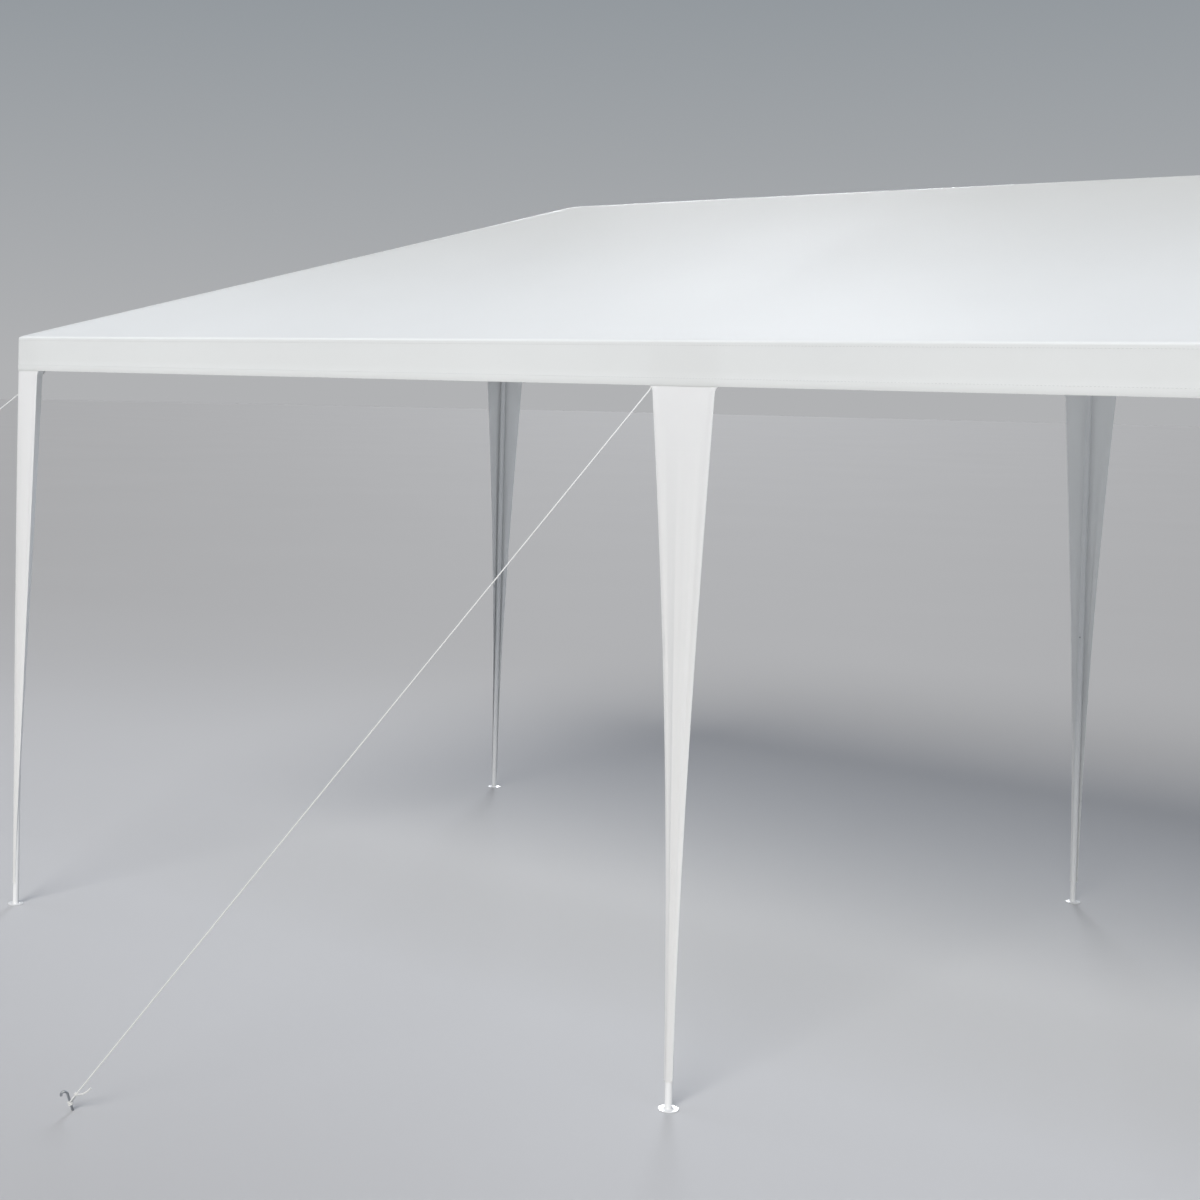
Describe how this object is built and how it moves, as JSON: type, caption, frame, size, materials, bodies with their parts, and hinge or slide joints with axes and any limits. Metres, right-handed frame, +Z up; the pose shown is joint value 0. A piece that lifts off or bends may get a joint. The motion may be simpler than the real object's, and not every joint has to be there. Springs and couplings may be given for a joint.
{
  "type": "canopy tent",
  "caption": "White hip-roofed party canopy tent, open on all sides: steel tube frame, stretched cloth roof with valance, tapering cloth leg skirts, guy ropes and stakes.",
  "frame": {"origin": "underside of the front left leg's foot, on the leg's axis, at ground level", "axes": "+X along the length from the front left leg to the front right leg, +Y from the front to the rear, +Z up"},
  "size_m": [9.2934, 4.4747, 2.6899],
  "materials": {
    "frame_tube": "white powder-coated steel tube, semi-gloss",
    "frame_fitting": "white powder-coated welded steel sockets, semi-gloss",
    "roof_cloth": "white coated polyethylene cloth, smooth with a fine weave",
    "skirt_cloth": "white coated polyethylene cloth with soft upright folds",
    "rope": "cream white braided cord",
    "stake_steel": "zinc-plated round steel"
  },
  "bodies": {
    "root": {"lower_leg_front_left": "frame_tube", "upper_leg_front_left": "frame_tube", "corner_connector_front_left": "frame_fitting", "hip_rafter_front_left": "frame_tube", "leg_skirt_front_left": "skirt_cloth", "lower_leg_front_mid": "frame_tube", "upper_leg_front_mid": "frame_tube", "side_connector_front_mid": "frame_fitting", "rafter_front_mid": "frame_tube", "leg_skirt_front_mid": "skirt_cloth", "lower_leg_front_right": "frame_tube", "upper_leg_front_right": "frame_tube", "corner_connector_front_right": "frame_fitting", "hip_rafter_front_right": "frame_tube", "leg_skirt_front_right": "skirt_cloth", "lower_leg_rear_left": "frame_tube", "upper_leg_rear_left": "frame_tube", "corner_connector_rear_left": "frame_fitting", "hip_rafter_rear_left": "frame_tube", "leg_skirt_rear_left": "skirt_cloth", "lower_leg_rear_mid": "frame_tube", "upper_leg_rear_mid": "frame_tube", "side_connector_rear_mid": "frame_fitting", "rafter_rear_mid": "frame_tube", "leg_skirt_rear_mid": "skirt_cloth", "lower_leg_rear_right": "frame_tube", "upper_leg_rear_right": "frame_tube", "corner_connector_rear_right": "frame_fitting", "hip_rafter_rear_right": "frame_tube", "leg_skirt_rear_right": "skirt_cloth", "eave_beam_front_left": "frame_tube", "eave_beam_front_right": "frame_tube", "eave_beam_rear_left": "frame_tube", "eave_beam_rear_right": "frame_tube", "eave_beam_left": "frame_tube", "eave_beam_right": "frame_tube", "ridge_connector_left": "frame_fitting", "ridge_tube_left": "frame_tube", "ridge_connector_right": "frame_fitting", "ridge_tube_right": "frame_tube", "ridge_connector_mid": "frame_fitting", "roof_front": "roof_cloth", "roof_rear": "roof_cloth", "roof_left": "roof_cloth", "roof_right": "roof_cloth", "valance_front": "roof_cloth", "valance_rear": "roof_cloth", "valance_left": "roof_cloth", "valance_right": "roof_cloth", "guy_rope_front_left": "rope", "stake_front_left": "stake_steel", "guy_rope_front_mid": "rope", "stake_front_mid": "stake_steel", "guy_rope_front_right": "rope", "stake_front_right": "stake_steel"}
  },
  "joints": []
}
